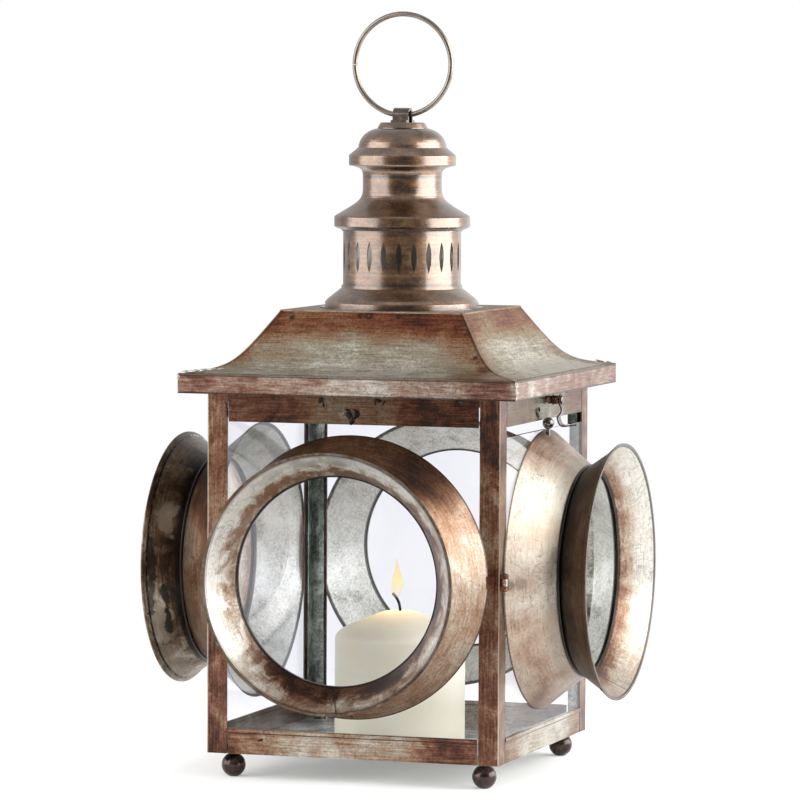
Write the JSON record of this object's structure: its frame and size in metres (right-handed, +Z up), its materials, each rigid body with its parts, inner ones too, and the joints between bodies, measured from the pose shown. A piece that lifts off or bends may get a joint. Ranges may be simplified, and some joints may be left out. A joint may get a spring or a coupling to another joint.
{
  "type": "candle lantern",
  "caption": "Square hanging candle lantern with a flared porthole hood on each side, a hinged glazed door, a pagoda roof, a vented cap and a carrying ring.",
  "frame": {"origin": "centre of the body in plan, on the plane that the four ball feet stand on", "axes": "+Z up through the cap and the ring; -Y out of the front; +X out of the side with the hinged door and its latch"},
  "size_m": [0.2676, 0.2676, 0.4398],
  "materials": {
    "copper_patina_sheet": "antiqued copper-brown patina over galvanised sheet, satin",
    "galvanised_sheet": "bare galvanised sheet, mottled",
    "spun_bronze": "spun sheet with an antique bronze finish, glossy",
    "dark_bronze": "dark antique bronze, polished",
    "polished_steel": "bare steel, polished by handling",
    "clear_glass": "clear float glass",
    "ivory_wax": "ivory candle wax, soft sheen",
    "charred_cotton": "braided cotton, charred"
  },
  "bodies": {
    "lantern": {"floor_plate": "galvanised_sheet", "glass_channels": "galvanised_sheet", "soffit_frame": "galvanised_sheet", "ball_feet": "dark_bronze", "ring_strap": "dark_bronze", "latch_spring": "dark_bronze", "foot_nuts": "polished_steel", "hinge_pin": "polished_steel", "latch_stud": "polished_steel", "latch_knob": "polished_steel", "post_front_left": "copper_patina_sheet", "post_front_right": "copper_patina_sheet", "post_back_right": "copper_patina_sheet", "post_back_left": "copper_patina_sheet", "bottom_rail_front": "copper_patina_sheet", "bottom_rail_right": "copper_patina_sheet", "bottom_rail_back": "copper_patina_sheet", "bottom_rail_left": "copper_patina_sheet", "top_rail_front": "copper_patina_sheet", "top_rail_right": "copper_patina_sheet", "top_rail_back": "copper_patina_sheet", "top_rail_left": "copper_patina_sheet", "hood_front_cone": "copper_patina_sheet", "hood_front_bead": "copper_patina_sheet", "hood_front_flare": "copper_patina_sheet", "hood_back_cone": "copper_patina_sheet", "hood_back_bead": "copper_patina_sheet", "hood_back_flare": "copper_patina_sheet", "hood_left_cone": "copper_patina_sheet", "hood_left_bead": "copper_patina_sheet", "hood_left_flare": "copper_patina_sheet", "hood_tabs": "copper_patina_sheet", "eave_band": "copper_patina_sheet", "roof_panel_front": "copper_patina_sheet", "roof_panel_right": "copper_patina_sheet", "roof_panel_back": "copper_patina_sheet", "roof_panel_left": "copper_patina_sheet", "roof_top_plate": "copper_patina_sheet", "hinge_lugs": "copper_patina_sheet", "glass_front": "clear_glass", "glass_back": "clear_glass", "glass_left": "clear_glass", "vent_skirt": "spun_bronze", "vent_drum": "spun_bronze", "cap_neck": "spun_bronze", "cap_dome": "spun_bronze", "cap_collar": "spun_bronze", "candle": "ivory_wax", "wick": "charred_cotton"},
    "door": {"door_glass": "clear_glass", "door_glass_collar": "galvanised_sheet", "door_hood_cone": "copper_patina_sheet", "door_hood_bead": "copper_patina_sheet", "door_hood_flare": "copper_patina_sheet", "door_knuckle": "polished_steel", "keeper_ball": "polished_steel"},
    "ring": {"hanging_ring": "dark_bronze"},
    "latch": {"latch_strip": "polished_steel"}
  },
  "joints": [
    {"name": "door_hinge", "type": "hinge", "parent": "lantern", "child": "door", "pos_m": [0.0898, -0.0842, 0.11819], "axis": [0, 0, -1], "range_deg": [0, 105]},
    {"name": "ring_swing", "type": "hinge", "parent": "lantern", "child": "ring", "pos_m": [0, 0, 0.3797], "axis": [1, 0, 0], "range_deg": [-145, 145]},
    {"name": "latch_turn", "type": "hinge", "parent": "lantern", "child": "latch", "pos_m": [0.0965, 0.0035, 0.21629], "axis": [1, 0, 0], "range_deg": [-33, 85]}
  ]
}
